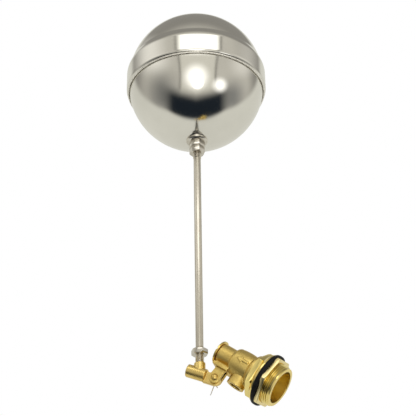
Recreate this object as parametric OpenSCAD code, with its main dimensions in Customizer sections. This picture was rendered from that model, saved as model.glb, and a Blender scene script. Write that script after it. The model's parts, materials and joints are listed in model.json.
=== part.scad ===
// Piston float valve with a ball float on a cranked lever.
// Frame: +X runs along the inlet thread out of its mouth, +Z is up, the outlet points down,
// and the origin is on the inlet axis in the face of the collar that the washer seats on.
// The valve is drawn fully open, with the lever on its stop.

/* [Inlet spigot] */
// Outside diameter of the inlet thread (G 1-1/2)
inlet_thread_d = 47.8; // [40:0.1:60]
// Length of the thread from the collar face to the mouth
inlet_thread_len = 19.5; // [17:0.5:40]
// Metal between the thread's crest and the inlet bore
inlet_wall = 4.9; // [4:0.1:8]
// Chamfer at the mouth
mouth_chamfer = 1.5; // [0.5:0.1:2.5]
// How far the collar stands out past the thread
collar_lip = 5.1; // [4:0.1:12]
// Thickness of the collar's rim
collar_t = 2; // [1:0.1:5]
// Length of the taper between the collar and the hexagon
collar_taper = 3; // [1:0.1:8]
// How far each flat of the spigot's hexagon stands out past the thread
spigot_hex_margin = -0.4; // [-1:0.1:3]
// Thickness of the spigot's hexagon
spigot_hex_t = 7; // [4:0.5:12]
// Turn of the hexagon about the inlet axis, in degrees
spigot_hex_turn = -23; // [-30:1:30]
// Outside diameter of the stub that screws into the body
stub_d = 28; // [24:0.5:34]
// Depth of the stub's thread in the body
stub_grip = 3.8; // [3:0.1:8]

/* [Washer and backnut] */
// Thickness of the rubber washer
washer_t = 5; // [2:0.5:8]
// How far the washer stands out past the collar
washer_overhang = 1.5; // [0:0.1:4]
// Thickness of the backnut
backnut_t = 5; // [4:0.5:10]
// Metal between the thread's crest and a flat of the backnut
backnut_wall = 3.3; // [2.5:0.1:8]
// Turn of the backnut about the inlet axis, in degrees
backnut_turn = 14; // [-30:1:30]

/* [Seat and piston] */
// Diameter of the orifice in the seat nozzle
orifice_d = 10.5; // [6:0.5:10.5]
// Width of the seat's rim around the orifice
seat_rim = 0.95; // [0.6:0.05:1]
// How far the seat's rim stands into the body past the stub
seat_reach = 3.25; // [2:0.05:6]
// Outside diameter of the seat nozzle's thread
seat_thread_d = 18; // [16.5:0.5:20]
// Diameter of the piston
piston_d = 17; // [17:0.5:22]
// Radial running clearance between piston and bore
piston_clear = 0.08; // [0.02:0.01:0.1]
// Distance from the middle of the finger's pocket to the face of the rubber disc
piston_nose = 26.68; // [24.5:0.01:34]
// Metal behind the finger's pocket
piston_tail_wall = 1.2; // [1:0.1:4]
// Thickness of the rubber disc
disc_t = 3; // [2:0.1:5]
// Length of the screwed cap that holds the disc
piston_cap_len = 7.6; // [6.5:0.1:12]

/* [Valve body] */
// Diameter of the chamber around the seat
chamber_d = 26; // [24:0.5:34]
// Wall of the chamber
chamber_wall = 4; // [3:0.1:7]
// Length of the chamber past the stub
chamber_len = 19.5; // [18:0.1:30]
// Wall of the barrel that guides the piston
barrel_wall = 3.4; // [3:0.1:6]
// Diameter of the outlet bore
outlet_bore_d = 13.6; // [10:0.1:15]
// Wall of the outlet nozzle
outlet_wall = 3.8; // [2:0.1:3.8]
// Depth of the outlet's mouth below the inlet axis
outlet_drop = 25.1; // [22:0.1:60]
// Height of the cast arrow above the chamber
arrow_rise = 1.0; // [0.3:0.1:1.2]

/* [End cap] */
// How far the cap's rim stands out past the barrel
cap_lip = 2.2; // [1:0.1:5]
// Thickness of the cap's end
cap_t = 2.4; // [2.2:0.1:5]
// Depth of the cap's thread in the barrel
cap_grip = 4.2; // [3:0.1:4.5]
// Wall of the cap's threaded skirt
cap_skirt_wall = 1.5; // [1:0.1:2]

/* [Lever] */
// Depth of the pivot below the inlet axis
pivot_drop = 28.4; // [26:0.1:40]
// Droop of the lever's barrel below level when fully open, in degrees
lever_droop = 13.2; // [8:0.1:14]
// Swing of the lever from open to shut, in degrees
lever_swing = 20; // [16:0.5:24]
// Thickness of the lever's tongue and finger
tongue_t = 4.6; // [3.5:0.1:6]
// Height of the tongue
tongue_h = 13.4; // [11:0.1:13.6]
// Radius of the finger's round tip
finger_tip_r = 2.6; // [2.2:0.1:3]
// Width of the finger below its tip
finger_w = 3.6; // [3:0.1:4]
// Diameter of the lever's barrel
lever_barrel_d = 15; // [14:0.1:20]
// Distance from the pivot to the near end of the barrel
lever_barrel_near = 11.8; // [11.5:0.1:16]
// Length of the barrel
lever_barrel_len = 22.8; // [20:0.1:40]
// Distance from the pivot to the crossing of boss and barrel
boss_offset = 19.4; // [19:0.1:24]
// Lean of the boss off the barrel's square, in degrees
boss_lean = 23.3; // [0:0.1:25]
// Diameter of the boss
boss_d = 13; // [12.5:0.1:14]
// Height of the boss above the barrel's axis
boss_h = 13.1; // [11:0.1:20]
// Depth of the spare tapped hole in the barrel's outer end
spare_hole_depth = 6.5; // [5:0.1:6.5]
// Diameter of the pivot pin
pin_d = 5; // [4:0.1:6]
// Thickness of each ear on the body
ear_t = 3.4; // [2:0.1:6]
// Radius of each ear's round end
ear_r = 6.6; // [5.5:0.1:8]

/* [Float arm] */
// Outside diameter of the arm's threads (M10)
arm_thread_d = 10; // [8:0.1:10.6]
// Diameter of the plain shank between the rolled threads
arm_shank_d = 9; // [7:0.1:9]
// Length of the arm
arm_len = 316; // [150:1:600]
// Length of the lower thread
lower_thread_len = 30; // [26:1:60]
// Length of the upper thread
upper_thread_len = 32; // [30:1:60]
// Width across flats of the nuts
nut_af = 17; // [16:0.1:19]
// Thickness of the thin lock nut at the lever
thin_nut_t = 6.5; // [4:0.5:8]
// Gap between the lever's boss and the thin lock nut
thin_nut_gap = 10.1; // [0:0.1:12]
// Thickness of the lock nut under the float
float_nut_t = 8.5; // [5:0.5:10]

/* [Float] */
// Diameter of the float's shells
float_d = 173.5; // [80:0.5:300]
// Half the distance between the centres of the two shells
shell_offset = 3; // [1:0.5:8]
// How far the belt stands out past the shells
belt_rise = 2.4; // [1.5:0.1:3]
// Distance from the float's middle down to the seam
seam_drop = 16.5; // [15:0.1:25]
// Sheet thickness of the shells
shell_t = 0.6; // [0.4:0.1:1]
// Width across flats of the hexagon boss
float_hex_af = 18; // [17:0.1:24]
// Height of the hexagon boss
float_hex_t = 7.5; // [6:0.5:16]
// Diameter of the boss's flange on the float
float_flange_d = 27; // [24:0.5:50]

/* [Hidden] */
$fn = 96;

// Clearances and small fits
thread_fit = 0.03;
running_fit = 0.08;
snug_fit = 0.05;
side_play = 0.3;
cut = 1;
tiny = 0.01;

// Inlet spigot, from the mouth inwards
inlet_bore_d = inlet_thread_d - 2 * inlet_wall;
collar_d = inlet_thread_d + 2 * collar_lip;
spigot_hex_af = inlet_thread_d + 2 * spigot_hex_margin;
hex_front_x = -collar_t - collar_taper;
hex_back_x = hex_front_x - spigot_hex_t;
spigot_gasket_t = 0.8;
body_face_x = hex_back_x - spigot_gasket_t;
stub_end_x = body_face_x - stub_grip;

// Washer and backnut
washer_id = inlet_thread_d + 0.4;
washer_od = collar_d + 2 * washer_overhang;
backnut_af = inlet_thread_d + 2 * backnut_wall;

// Seat, disc and piston, from the seat outwards
seat_x = stub_end_x - seat_reach;
shut_gap = 0.1;
open_angle = lever_droop;
shut_angle = lever_swing - lever_droop;
lift = pivot_drop * (sin(open_angle) + sin(shut_angle));
disc_x = seat_x - shut_gap - lift;
seat_rim_r = orifice_d / 2 + seat_rim;
seat_lip_gap = 0.6;
lip_r = seat_rim_r + seat_lip_gap;
lip_t = 0.6;
disc_r = lip_r + 0.8;
piston_r = piston_d / 2;
cap_front_x = disc_x + lip_t;
cap_back_x = cap_front_x - piston_cap_len;
piston_thread_r = 6;
pocket_x = disc_x - piston_nose;
pocket_play = 0.25;
pocket_half = finger_tip_r + pocket_play;
tail_flare = pocket_half + 1;
nose_flare = pocket_half + 1.5;
pocket_top = finger_tip_r + 1;
pocket_throat = finger_tip_r + 0.6;
tail_x = pocket_x - tail_flare - piston_tail_wall;

// Body
bore_r = piston_r + piston_clear;
barrel_r = bore_r + barrel_wall;
chamber_r = chamber_d / 2 + chamber_wall;
chamber_crown = 0.7;
bore_front_x = stub_end_x - chamber_len;
shoulder_r = 4.5;
shoulder_x = bore_front_x - 3.5;
flange_rise = 3.2;
flange_r = chamber_r + flange_rise;
flange_t = 3.7;
flange_fillet = 3;
outlet_r = outlet_bore_d / 2 + outlet_wall;
outlet_margin = 2.4;
outlet_x = stub_end_x - outlet_bore_d / 2 - outlet_margin;
arrow_w = 7.5;
arrow_len = 15;
arrow_lift = 1.5;

// End cap
tail_gap = 0.5;
cap_gasket_t = 0.6;
cap_face_x = tail_x - tail_gap;
barrel_end_x = cap_face_x + cap_gasket_t;
cap_r = barrel_r + cap_lip;
cap_skirt_in = bore_r + 0.2;
cap_skirt_out = cap_skirt_in + cap_skirt_wall;
cap_slot_w = 2.5;
cap_slot_depth = 1.2;
cap_bevel = 0.6;

// Pivot and ears
pivot_x = pocket_x + pivot_drop * sin(open_angle);
pivot_z = -pivot_drop;
ear_in = tongue_t / 2 + side_play;
ear_out = ear_in + ear_t;
plate_half_x = 10;
plate_half_y = 11;
plate_top_z = -(barrel_r + 0.8);
plate_t = 3.8;
plate_bottom_z = plate_top_z - plate_t;
web_half_y = ear_out;
slot_front_x = pivot_x + 6.4;
finger_reach = (pivot_drop - bore_r) * tan(open_angle) + finger_w / 2 / cos(open_angle) + 0.6;
slot_back_x = max(pivot_x - max(7.4, finger_reach), cap_face_x + cap_grip + 0.6);
pin_r = pin_d / 2;
tongue_sink = 1.6;
drill_cone = 0.58;
pin_head_r = 4.1;
pin_head_t = 2.2;
pin_head_y = -ear_out - side_play;
split_y = ear_out + 1.8;
pin_end_y = split_y + 1.6;
split_wire_r = 0.5;
split_hole_r = 2 * split_wire_r + 0.15;
split_eye_r = 1.4;
split_eye_z = pin_r + 0.8 + split_eye_r;
split_bend_z = -pin_r - 1.2;
long_leg = 14;
short_leg = 5;
short_leg_turn = -62;
long_leg_turn = -14;

// Float arm, measured along its own axis from the axis of the lever's barrel
arm_start = 3;
arm_end = arm_start + arm_len;
thin_nut_start = boss_h + thin_nut_gap;
float_bush_len = 10.4;
float_flange_t = 3.4;
float_bush_grip = 5;
shell_foot = arm_end - float_bush_grip;
float_r = float_d / 2;
float_middle = shell_foot + float_r + shell_offset;
flange_sink = float_r - sqrt(float_r ^ 2 - (float_flange_d / 2) ^ 2);
float_hex_end = shell_foot + flange_sink - float_flange_t - 0.8;
float_hex_start = float_hex_end - float_hex_t;
float_nut_start = float_hex_start - float_nut_t;
arm_hole_r = arm_thread_d / 2 + thread_fit;

// Float shells, measured from the float's middle, positive away from the arm
lower_c = -shell_offset;
upper_c = shell_offset;
lower_lap = 8;
belt_r = float_r + belt_rise;
belt_top = 9;
belt_end = 23;
lip_len = 4;
sphere_steps = 30;
belt_steps = 10;
bead_r = 0.9;

// Turns a shape so that its Z runs along +X, its X along +Y and its Y along +Z
module along_x() {
    rotate([90, 0, 90]) children();
}

// Draws a flat shape in the XZ plane, from y = from to y = from + t
module slab_xz(from, t) {
    translate([0, from + t, 0]) rotate([90, 0, 0]) linear_extrude(t) children();
}

// A round bar along +X between two places
module bar_x(x0, x1, r) {
    along_x() translate([0, 0, min(x0, x1)]) cylinder(h = abs(x1 - x0), r = r);
}

// A round bar along +Y between two places
module bar_y(y0, y1, r) {
    translate([0, y0, 0]) rotate([-90, 0, 0]) cylinder(h = y1 - y0, r = r);
}

// A hexagonal nut blank standing on z = 0, with both faces bevelled
module hex_blank(af, t, bevel) {
    reach = af / 2 / cos(30);
    intersection() {
        cylinder(h = t, r = reach, $fn = 6);
        rotate_extrude() polygon([
            [0, 0], [reach - 2 * bevel, 0], [reach, bevel],
            [reach, t - bevel], [reach - 2 * bevel, t], [0, t]
        ]);
    }
}

// Places a child in the lever's frame: origin at the pivot, barrel along -X, finger along +Z
module on_lever() {
    translate([pivot_x, 0, pivot_z]) rotate([0, -lever_droop, 0]) children();
}

// Places a child on the float arm's axis, with z measured from the axis of the lever's barrel
module on_arm() {
    on_lever() translate([-boss_offset, 0, 0]) rotate([0, -boss_lean, 0]) children();
}

// Radius of a sphere of radius r at a distance s from its middle
function ball_r(r, s) = sqrt(max(0, r * r - s * s));

// Points of a shell's outline between two places along the axis, for a sphere centred at c
function shell_points(r, c, from, to, steps) =
    [for (i = [0:steps])
        let (a0 = asin((from - c) / r), a1 = asin((to - c) / r), a = a0 + (a1 - a0) * i / steps)
        [r * cos(a), c + r * sin(a)]];

// Easing from 1 to 0 as u goes from 0 to 1, level at both ends
function ease(u) = (1 + cos(180 * u)) / 2;

// Outline of the belt at a distance s from the float's middle, moved in by inset
function belt_point(s, inset) =
    let (u = min(1, max(0, (s - belt_top) / (belt_end - belt_top))), ball = ball_r(float_r, s - upper_c))
    [ball + (belt_r - ball) * ease(u) - inset, s];

// Outer radius of the crowned chamber at a place along +X
function crown_r(x) =
    let (mid = (body_face_x - flange_t - flange_fillet + shoulder_x) / 2, half = mid - shoulder_x)
    chamber_r - chamber_crown * ((x - mid) / half) ^ 2;

module body_outside() {
    flange_x = body_face_x - flange_t;
    waist_x = flange_x - flange_fillet;
    crown = [for (i = [0:8]) let (x = waist_x + (shoulder_x - waist_x) * i / 8) [crown_r(x), x]];
    step_r = chamber_r - chamber_crown - barrel_r;
    shoulder = [for (a = [10:10:90]) [barrel_r + step_r * cos(a), shoulder_x - shoulder_r * sin(a)]];
    along_x() rotate_extrude() polygon(concat(
        [[0, body_face_x], [flange_r, body_face_x], [flange_r, flange_x]],
        crown, shoulder,
        [[barrel_r, barrel_end_x], [0, barrel_end_x]]
    ));
}

module ear_shape() {
    translate([pivot_x, pivot_z]) circle(r = ear_r);
    polygon([
        [pivot_x - ear_r, pivot_z], [pivot_x + ear_r, pivot_z],
        [pivot_x + ear_r, plate_bottom_z + tiny], [pivot_x - ear_r + 0.8, plate_bottom_z + tiny]
    ]);
}

module flow_arrow() {
    head = arrow_len * 0.45;
    shaft_w = arrow_w * 0.36;
    intersection() {
        slab_xz(-chamber_r - cut, chamber_r) translate([outlet_x - arrow_len / 2 - 3, arrow_lift]) polygon([
            [0, 0], [head, arrow_w / 2], [head, shaft_w / 2], [arrow_len, shaft_w / 2],
            [arrow_len, -shaft_w / 2], [head, -shaft_w / 2], [head, -arrow_w / 2]
        ]);
        bar_x(body_face_x - flange_t, bore_front_x, chamber_r + arrow_rise);
    }
}

module valve_body() {
    color("darkgoldenrod") difference() {
        union() {
            body_outside();
            translate([outlet_x, 0, -outlet_drop]) cylinder(h = outlet_drop, r = outlet_r);
            translate([pivot_x - plate_half_x, -plate_half_y, plate_bottom_z])
                cube([2 * plate_half_x, 2 * plate_half_y, plate_t]);
            translate([pivot_x - plate_half_x, -web_half_y, plate_bottom_z])
                cube([2 * plate_half_x, 2 * web_half_y, -plate_bottom_z - bore_r]);
            slab_xz(-ear_out, ear_t) ear_shape();
            slab_xz(ear_in, ear_t) ear_shape();
            flow_arrow();
        }
        bar_x(stub_end_x, body_face_x + cut, stub_d / 2 + thread_fit);
        bar_x(bore_front_x, body_face_x, chamber_d / 2);
        bar_x(barrel_end_x - cut, body_face_x, bore_r);
        bar_x(barrel_end_x - cut, cap_face_x + cap_grip + tiny, cap_skirt_out + thread_fit);
        translate([outlet_x, 0, -outlet_drop - cut]) cylinder(h = outlet_drop + cut, r = outlet_bore_d / 2);
        translate([slot_back_x, -ear_in, plate_bottom_z - cut])
            cube([slot_front_x - slot_back_x, 2 * ear_in, -plate_bottom_z]);
        translate([pivot_x, 0, pivot_z]) bar_y(-ear_out - cut, ear_out + cut, pin_r + snug_fit);
    }
}

module inlet_spigot() {
    taper_r = collar_d / 2 - collar_taper;
    color("goldenrod") difference() {
        union() {
            along_x() rotate_extrude() polygon([
                [0, 0], [inlet_thread_d / 2, 0],
                [inlet_thread_d / 2, inlet_thread_len - mouth_chamfer],
                [inlet_thread_d / 2 - mouth_chamfer, inlet_thread_len], [0, inlet_thread_len]
            ]);
            along_x() rotate_extrude() polygon([
                [0, 0], [collar_d / 2, 0], [collar_d / 2, -collar_t], [taper_r, hex_front_x], [0, hex_front_x]
            ]);
            along_x() translate([0, 0, hex_back_x]) rotate(spigot_hex_turn)
                hex_blank(spigot_hex_af, spigot_hex_t + tiny, 1.1);
            bar_x(stub_end_x, hex_back_x + tiny, stub_d / 2);
        }
        bar_x(-collar_t, inlet_thread_len + cut, inlet_bore_d / 2);
        bar_x(stub_end_x - cut, 0, seat_thread_d / 2 + thread_fit);
    }
}

module spigot_gasket() {
    color("firebrick") difference() {
        bar_x(body_face_x + tiny, hex_back_x - tiny, flange_r - 0.6);
        bar_x(body_face_x - cut, hex_back_x + cut, stub_d / 2 + 0.2);
    }
}

module seat_nozzle() {
    entry_x = -collar_t - 2;
    entry_depth = 3;
    color("goldenrod") along_x() rotate_extrude() polygon([
        [orifice_d / 2, seat_x], [seat_rim_r, seat_x], [seat_rim_r + 0.5, stub_end_x],
        [seat_thread_d / 2, stub_end_x], [seat_thread_d / 2, entry_x],
        [seat_thread_d / 2 - 1, entry_x], [orifice_d / 2, entry_x - entry_depth]
    ]);
}

module end_cap() {
    outer_x = cap_face_x - cap_t;
    color("goldenrod") difference() {
        union() {
            along_x() rotate_extrude() polygon([
                [0, cap_face_x], [cap_r, cap_face_x], [cap_r, outer_x + cap_bevel],
                [cap_r - cap_bevel, outer_x], [0, outer_x]
            ]);
            difference() {
                bar_x(cap_face_x - tiny, cap_face_x + cap_grip, cap_skirt_out);
                bar_x(cap_face_x, cap_face_x + cap_grip + cut, cap_skirt_in);
            }
        }
        translate([outer_x - cut, -cap_r - cut, -cap_slot_w / 2])
            cube([cap_slot_depth + cut, 2 * (cap_r + cut), cap_slot_w]);
    }
}

module cap_gasket() {
    color("dimgray") difference() {
        bar_x(cap_face_x + tiny, barrel_end_x - tiny, barrel_r - 0.3);
        bar_x(cap_face_x - cut, barrel_end_x + cut, cap_skirt_out + 0.1);
    }
}

module pocket_shape() {
    polygon([
        [-pocket_half, pocket_top], [pocket_half, pocket_top], [pocket_half, -pocket_throat],
        [nose_flare, -piston_r - cut], [-tail_flare, -piston_r - cut], [-pocket_half, -pocket_throat]
    ]);
}

module piston() {
    color("gold") difference() {
        union() {
            bar_x(tail_x, cap_back_x, piston_r);
            bar_x(cap_back_x - tiny, disc_x - disc_t - tiny, piston_thread_r);
        }
        translate([pocket_x, 0, 0]) slab_xz(-ear_in, 2 * ear_in) pocket_shape();
    }
}

module piston_cap() {
    color("gold") difference() {
        bar_x(cap_back_x + tiny, cap_front_x, piston_r);
        bar_x(cap_back_x - cut, cap_front_x, piston_thread_r + thread_fit);
        bar_x(disc_x - disc_t, disc_x, disc_r);
        bar_x(disc_x - tiny, cap_front_x + cut, lip_r);
    }
}

module seat_disc() {
    color("black") bar_x(disc_x - disc_t, disc_x - tiny, disc_r - snug_fit);
}

module lever() {
    spare_r = 0.85 * arm_thread_d / 2;
    color("goldenrod") on_lever() difference() {
        union() {
            slab_xz(-tongue_t / 2, tongue_t) {
                translate([0, -tongue_sink]) circle(r = tongue_h / 2);
                translate([-lever_barrel_near - cut, -tongue_h / 2 - tongue_sink])
                    square([lever_barrel_near + cut, tongue_h]);
                translate([-finger_w / 2, 0]) square([finger_w, pivot_drop]);
                translate([0, pivot_drop]) circle(r = finger_tip_r);
            }
            bar_x(-lever_barrel_near - lever_barrel_len, -lever_barrel_near, lever_barrel_d / 2);
            translate([-boss_offset, 0, 0]) rotate([0, -boss_lean, 0]) cylinder(h = boss_h, r = boss_d / 2);
        }
        bar_y(-tongue_t, tongue_t, pin_r + running_fit);
        translate([-boss_offset, 0, 0]) rotate([0, -boss_lean, 0]) translate([0, 0, arm_start - 0.5])
            cylinder(h = boss_h, r = arm_hole_r);
        bar_x(-lever_barrel_near - lever_barrel_len - cut,
            -lever_barrel_near - lever_barrel_len + spare_hole_depth, spare_r);
        along_x() translate([0, 0, -lever_barrel_near - lever_barrel_len + spare_hole_depth - tiny])
            cylinder(h = drill_cone * spare_r, r1 = spare_r, r2 = 0);
    }
}

module pivot_pin() {
    dome_r = (pin_head_r ^ 2 + pin_head_t ^ 2) / (2 * pin_head_t);
    dome_a = asin(pin_head_r / dome_r);
    dome = [for (i = [0:8])
        let (a = dome_a * i / 8)
        [dome_r * sin(a), -pin_head_t + dome_r * (1 - cos(a))]];
    color("gold") translate([pivot_x, 0, pivot_z]) difference() {
        union() {
            bar_y(pin_head_y - tiny, pin_end_y, pin_r);
            translate([0, pin_head_y, 0]) rotate([-90, 0, 0]) rotate_extrude()
                polygon(concat(dome, [[0, 0]]));
        }
        translate([0, split_y, -pin_r - cut]) cylinder(h = 2 * (pin_r + cut), r = split_hole_r);
    }
}

// One leg of the split pin: straight through the pivot pin, then bent below it
module split_leg(at_x, top_z, length, turn) {
    translate([at_x, 0, split_bend_z]) {
        cylinder(h = top_z - split_bend_z, r = split_wire_r);
        sphere(r = split_wire_r + 0.1);
        rotate([0, turn, 0]) translate([0, 0, -length]) cylinder(h = length, r = split_wire_r);
    }
}

module split_pin() {
    leg_x = split_wire_r + 0.02;
    eye_out = split_eye_r + split_wire_r;
    eye_in = split_eye_r - split_wire_r;
    eye_t = 2 * split_wire_r + 0.2;
    leg_top = split_eye_z - split_eye_r;
    color("silver") translate([pivot_x, split_y, pivot_z]) {
        translate([0, 0, split_eye_z]) difference() {
            bar_y(-eye_t / 2, eye_t / 2, eye_out);
            bar_y(-eye_t, eye_t, eye_in);
        }
        split_leg(-leg_x, leg_top, long_leg, long_leg_turn);
        split_leg(leg_x, leg_top, short_leg, short_leg_turn);
    }
}

module float_arm() {
    thread_r = arm_thread_d / 2;
    tip = 1;
    color("gainsboro") on_arm() rotate_extrude() polygon([
        [0, arm_start], [thread_r - tip, arm_start], [thread_r, arm_start + tip],
        [thread_r, arm_start + lower_thread_len], [arm_shank_d / 2, arm_start + lower_thread_len + tip],
        [arm_shank_d / 2, arm_end - upper_thread_len - tip], [thread_r, arm_end - upper_thread_len],
        [thread_r, arm_end - tip], [thread_r - tip, arm_end], [0, arm_end]
    ]);
}

module arm_nut(start, t, af) {
    on_arm() translate([0, 0, start]) difference() {
        hex_blank(af, t, 0.8);
        translate([0, 0, -cut]) cylinder(h = t + 2 * cut, r = arm_hole_r);
    }
}

module arm_lock_nut() {
    color("silver") arm_nut(thin_nut_start, thin_nut_t, nut_af);
}

module float_lock_nut() {
    color("silver") arm_nut(float_nut_start, float_nut_t - tiny, nut_af);
}

module float_boss() {
    color("silver") arm_nut(float_hex_start, float_hex_t, float_hex_af);
}

module boss_flange() {
    rim_r = float_flange_d / 2;
    under = shell_foot + flange_sink;
    dome = [for (i = [0:6])
        let (r = rim_r + (arm_hole_r - rim_r) * i / 6)
        [r, shell_foot + float_r - ball_r(float_r, r) - tiny]];
    color("silver") on_arm() rotate_extrude() polygon(concat(
        [
            [arm_hole_r, float_hex_end + tiny], [float_hex_af / 2, float_hex_end + tiny],
            [rim_r - 1, under - float_flange_t], [rim_r, under - float_flange_t + 1]
        ],
        dome
    ));
}

module float_bush() {
    color("gainsboro") on_arm() difference() {
        translate([0, 0, shell_foot + shell_t + 0.5]) cylinder(h = float_bush_len - shell_t, r = 8);
        translate([0, 0, shell_foot - cut]) cylinder(h = arm_end + 0.5 - shell_foot + cut, r = arm_hole_r);
    }
}

module float_frame() {
    on_arm() translate([0, 0, float_middle]) children();
}

module float_lower_shell() {
    edge = -seam_drop + lower_lap;
    inner_r = float_r - shell_t;
    foot = lower_c - ball_r(float_r, arm_hole_r);
    inner_foot = lower_c - ball_r(inner_r, arm_hole_r);
    color("lightsteelblue") float_frame() rotate_extrude() polygon(concat(
        shell_points(float_r, lower_c, foot, edge, sphere_steps),
        shell_points(inner_r, lower_c, edge, inner_foot, sphere_steps)
    ));
}

module float_upper_shell() {
    lap_r = ball_r(float_r, -seam_drop - lower_c) + snug_fit;
    inner_r = float_r - shell_t;
    lip = [for (i = [0:4])
        let (a = 90 * i / 4)
        [lap_r + (belt_r - lap_r) * sin(a), -seam_drop + lip_len * (1 - cos(a))]];
    belt = [for (i = [0:belt_steps]) belt_point(belt_top + (belt_end - belt_top) * i / belt_steps, 0)];
    inner_belt = [for (i = [belt_steps:-1:0])
        belt_point(belt_top + (belt_end - belt_top) * i / belt_steps, shell_t)];
    color("lightsteelblue") float_frame() rotate_extrude() polygon(concat(
        lip, belt,
        shell_points(float_r, upper_c, belt_end + 1, upper_c + float_r, sphere_steps),
        shell_points(inner_r, upper_c, upper_c + inner_r, belt_end + 1, sphere_steps),
        inner_belt,
        [[belt_r - shell_t, -seam_drop + lip_len], [lap_r, -seam_drop + shell_t]]
    ));
}

module float_weld_bead() {
    seam_r = ball_r(float_r, -seam_drop - lower_c);
    color("silver") float_frame() rotate_extrude()
        translate([seam_r + bead_r + 0.3, -seam_drop - bead_r - tiny]) circle(r = bead_r);
}

module sealing_washer() {
    color("black") difference() {
        bar_x(tiny, washer_t, washer_od / 2);
        bar_x(-cut, washer_t + cut, washer_id / 2);
    }
}

module backnut() {
    color("palegoldenrod") along_x() translate([0, 0, washer_t + tiny]) rotate(backnut_turn) difference() {
        hex_blank(backnut_af, backnut_t - tiny, 1);
        translate([0, 0, -cut]) cylinder(h = backnut_t + 2 * cut, r = inlet_thread_d / 2 + running_fit);
    }
}

valve_body();
inlet_spigot();
spigot_gasket();
seat_nozzle();
end_cap();
cap_gasket();
piston();
piston_cap();
seat_disc();
lever();
pivot_pin();
split_pin();
float_arm();
arm_lock_nut();
float_lock_nut();
float_boss();
boss_flange();
float_bush();
float_lower_shell();
float_upper_shell();
float_weld_bead();
sealing_washer();
backnut();
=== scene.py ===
"""A brass piston float valve with a steel ball float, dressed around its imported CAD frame.

Each sub-assembly is a class that holds its sizes in metres, models its visible pieces and
gives every piece its finish. All places are in the frame of the CAD model.
"""
import json
import logging
import math
from dataclasses import dataclass, field
from enum import Enum

import bmesh
import bpy
from mathutils import Euler, Matrix, Vector

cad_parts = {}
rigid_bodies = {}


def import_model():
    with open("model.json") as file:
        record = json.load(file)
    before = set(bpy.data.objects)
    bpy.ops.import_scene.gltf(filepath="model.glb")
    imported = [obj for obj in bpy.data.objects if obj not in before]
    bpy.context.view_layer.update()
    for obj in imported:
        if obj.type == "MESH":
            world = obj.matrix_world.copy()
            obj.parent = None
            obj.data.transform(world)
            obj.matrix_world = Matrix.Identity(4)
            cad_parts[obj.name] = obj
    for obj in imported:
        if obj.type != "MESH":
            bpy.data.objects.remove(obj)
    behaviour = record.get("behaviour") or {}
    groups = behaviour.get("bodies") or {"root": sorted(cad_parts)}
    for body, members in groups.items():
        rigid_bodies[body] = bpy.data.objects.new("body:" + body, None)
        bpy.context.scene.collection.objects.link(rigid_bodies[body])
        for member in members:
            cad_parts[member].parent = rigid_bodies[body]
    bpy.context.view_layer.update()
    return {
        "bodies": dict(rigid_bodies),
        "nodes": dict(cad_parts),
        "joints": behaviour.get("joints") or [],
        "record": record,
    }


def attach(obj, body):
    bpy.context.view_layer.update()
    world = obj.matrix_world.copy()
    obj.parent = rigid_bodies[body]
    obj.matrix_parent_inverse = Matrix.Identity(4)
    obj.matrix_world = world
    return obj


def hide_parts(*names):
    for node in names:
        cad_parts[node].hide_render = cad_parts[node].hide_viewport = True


LOG = logging.getLogger("float_valve")
MM = 0.001
TURN = 2 * math.pi
MERGE_GAP = 1e-6
PIVOT = (-49.9927 * MM, 0.0, -28.4 * MM)
ARM_TILT = -math.radians(36.5)
Outline = list[tuple[float, float]]
Span = tuple[float, float]
Triple = tuple[float, float, float]
Socket = bpy.types.NodeSocket


class Cut(Enum):
    """What a cutting form does to a piece."""

    KEEP = "INTERSECT"
    REMOVE = "DIFFERENCE"


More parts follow.
